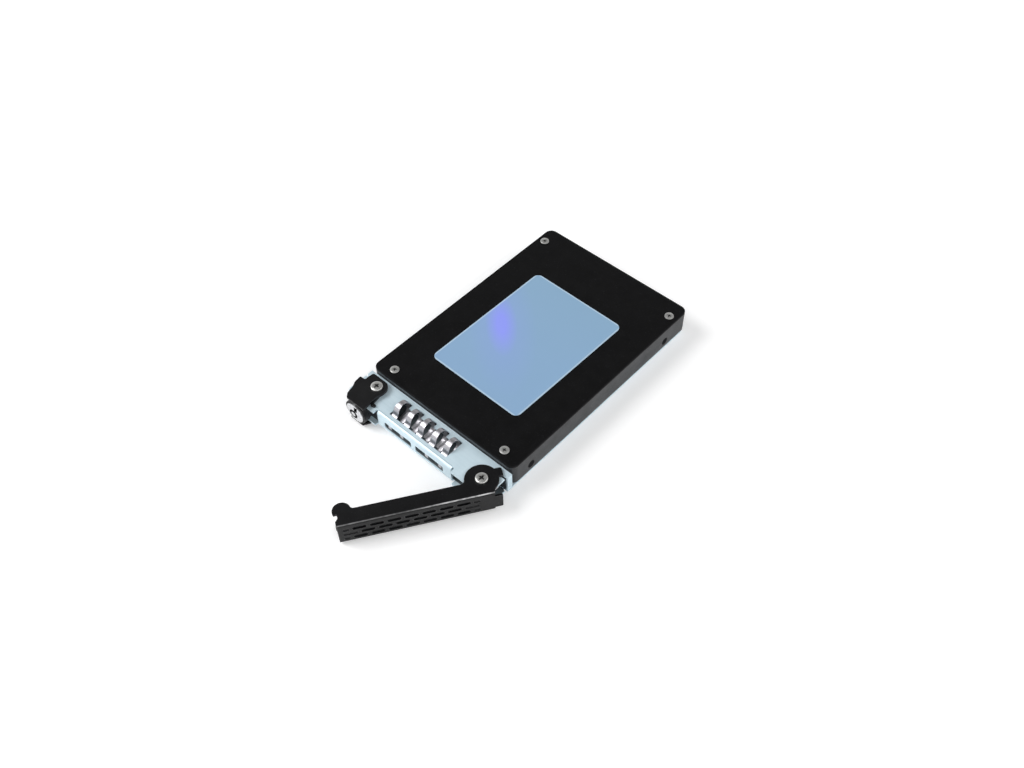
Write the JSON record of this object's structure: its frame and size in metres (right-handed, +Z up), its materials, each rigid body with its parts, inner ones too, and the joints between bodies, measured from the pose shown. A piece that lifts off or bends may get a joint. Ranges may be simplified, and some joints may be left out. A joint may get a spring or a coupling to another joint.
{
  "type": "hot swap drive caddy",
  "caption": "Hot-swap caddy: solid-state drive on a sheet-metal tray with a spring-finger front channel, a swinging perforated ejector lever and a push-button catch.",
  "frame": {"origin": "on the tray's underside, in the middle of its width, at the plane of the front channel's face", "axes": "+X to the drive's right (the lever's pivot side), +Y towards the connectors, the way the caddy is pushed in, +Z up through the drive's cover"},
  "size_m": [0.0726, 0.1548, 0.0132],
  "materials": {
    "drive_case": "satin",
    "drive_cover": "matte",
    "steel_screws": "plated",
    "drive_label": "satin",
    "board": "gloss",
    "connector": "matte",
    "chips": "matte",
    "thermal_pad": "matte",
    "tray_zinc": "zinc plated",
    "spring_steel": "bright",
    "lever_black": "satin powder coat",
    "spring_wire": "bright",
    "latch_black": "satin",
    "button_silver": "satin",
    "guide_plastic": "matte",
    "pawl_black": "satin"
  },
  "bodies": {
    "tray": {"drive_case": "drive_case", "drive_cover": "drive_cover", "drive_cover_screws": "steel_screws", "drive_label": "drive_label", "drive_board": "board", "drive_connector": "connector", "controller_chip": "chips", "flash_chips": "chips", "thermal_pad": "thermal_pad", "drive_mount_screws": "steel_screws", "tray": "tray_zinc", "emi_spring_strip": "spring_steel", "lever_pivot_screw": "steel_screws", "lever_pivot_bush": "steel_screws", "lever_pivot_nut": "steel_screws", "lever_spring": "spring_wire", "latch_housing": "latch_black", "button_spring": "spring_wire", "button_guide": "guide_plastic", "pawl_spring": "spring_wire", "latch_pivot_screw": "steel_screws", "latch_pivot_bush": "steel_screws", "latch_pivot_nut": "steel_screws"},
    "lever": {"lever": "lever_black"},
    "button": {"release_button": "button_silver", "button_slider": "guide_plastic"},
    "catch": {"catch_pawl": "pawl_black"}
  },
  "joints": [
    {"name": "lever_swing", "type": "hinge", "parent": "tray", "child": "lever", "pos_m": [0.02898, 0.0035, 0], "axis": [0, 0, 1], "range_deg": [-56.5, 0], "stiffness_Nm_per_rad": 0.004, "springref_deg": 20.05},
    {"name": "button_press", "type": "slide", "parent": "tray", "child": "button", "axis": [0, 1, 0], "range_m": [0, 0.00085], "stiffness_N_per_m": 300, "springref_m": -0.002, "deforming": ["button_spring"]},
    {"name": "catch_turn", "type": "hinge", "parent": "tray", "child": "catch", "pos_m": [-0.02643, 0.0069, 0], "axis": [0, 0, 1], "range_deg": [-11.1, 0]}
  ],
  "couplings": [
    {"joint": "catch_turn", "follows": "button_press", "rad_per_m": -225.87}
  ]
}
